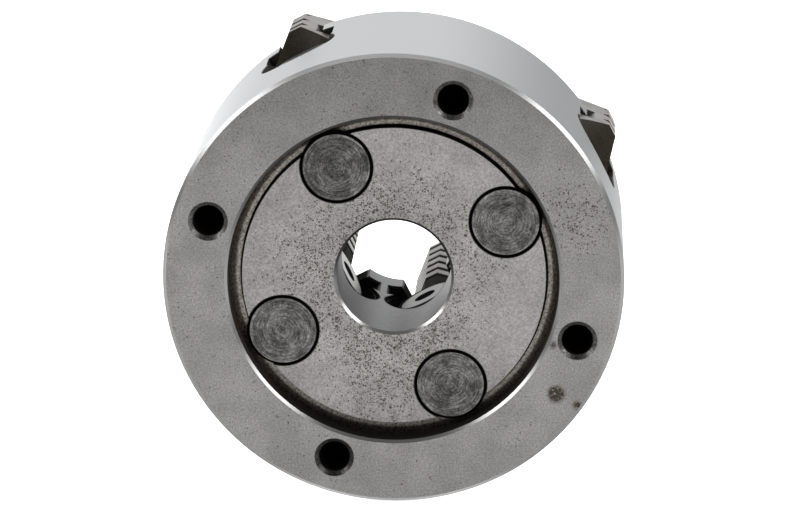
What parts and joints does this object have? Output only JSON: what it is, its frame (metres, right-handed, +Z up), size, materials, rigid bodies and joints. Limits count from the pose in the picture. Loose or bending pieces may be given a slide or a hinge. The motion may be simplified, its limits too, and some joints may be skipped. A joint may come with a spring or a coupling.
{
  "type": "four-jaw independent lathe chuck",
  "caption": "Plain-back independent lathe chuck: steel body with recessed register, stepped reversible jaws in radial slots, each driven by its own screw held in a round thrust bearing.",
  "frame": {"origin": "centre of the back face on the chuck axis, which is the centre of the mounting-hole circle", "axes": "-Y out of the back face towards the spindle, +Y towards the jaws, +Z up, +X to the right seen from the back"},
  "size_m": [0.1, 0.0835, 0.1],
  "materials": {
    "body_steel": "ground and turned steel",
    "bearing_steel": "turned steel, darker, with concentric marks",
    "screw_steel": "turned steel",
    "jaw_steel": "hardened ground steel, oily in the threads"
  },
  "bodies": {
    "chuck": {"chuck_body": "body_steel", "thrust_bearing_1": "bearing_steel", "thrust_bearing_2": "bearing_steel", "thrust_bearing_3": "bearing_steel", "thrust_bearing_4": "bearing_steel"},
    "jaw_1": {"jaw_1": "jaw_steel"},
    "screw_1": {"jaw_screw_1": "screw_steel"},
    "jaw_2": {"jaw_2": "jaw_steel"},
    "screw_2": {"jaw_screw_2": "screw_steel"},
    "jaw_3": {"jaw_3": "jaw_steel"},
    "screw_3": {"jaw_screw_3": "screw_steel"},
    "jaw_4": {"jaw_4": "jaw_steel"},
    "screw_4": {"jaw_screw_4": "screw_steel"}
  },
  "joints": [
    {"name": "jaw_1_slide", "type": "slide", "parent": "chuck", "child": "jaw_1", "axis": [0.8898, 0, 0.4563], "range_m": [-0.0117, 0.0113]},
    {"name": "screw_1_turn", "type": "hinge", "parent": "chuck", "child": "screw_1", "pos_m": [0.02669, 0.0304, 0.01369], "axis": [0.8898, 0, 0.4563], "range_deg": [-1406, 1358]},
    {"name": "jaw_2_slide", "type": "slide", "parent": "chuck", "child": "jaw_2", "axis": [-0.4563, 0, 0.8898], "range_m": [-0.011, 0.012]},
    {"name": "screw_2_turn", "type": "hinge", "parent": "chuck", "child": "screw_2", "pos_m": [-0.01369, 0.0304, 0.02669], "axis": [-0.4563, 0, 0.8898], "range_deg": [-1322, 1442]},
    {"name": "jaw_3_slide", "type": "slide", "parent": "chuck", "child": "jaw_3", "axis": [-0.8898, 0, -0.4563], "range_m": [-0.0106, 0.0124]},
    {"name": "screw_3_turn", "type": "hinge", "parent": "chuck", "child": "screw_3", "pos_m": [-0.02669, 0.0304, -0.01369], "axis": [-0.8898, 0, -0.4563], "range_deg": [-1274, 1490]},
    {"name": "jaw_4_slide", "type": "slide", "parent": "chuck", "child": "jaw_4", "axis": [0.4563, 0, -0.8898], "range_m": [-0.011, 0.012]},
    {"name": "screw_4_turn", "type": "hinge", "parent": "chuck", "child": "screw_4", "pos_m": [0.01369, 0.0304, -0.02669], "axis": [0.4563, 0, -0.8898], "range_deg": [-1322, 1442]}
  ],
  "couplings": [
    {"joint": "screw_1_turn", "follows": "jaw_1_slide", "rad_per_m": 2094.4},
    {"joint": "screw_2_turn", "follows": "jaw_2_slide", "rad_per_m": 2094.4},
    {"joint": "screw_3_turn", "follows": "jaw_3_slide", "rad_per_m": 2094.4},
    {"joint": "screw_4_turn", "follows": "jaw_4_slide", "rad_per_m": 2094.4}
  ]
}
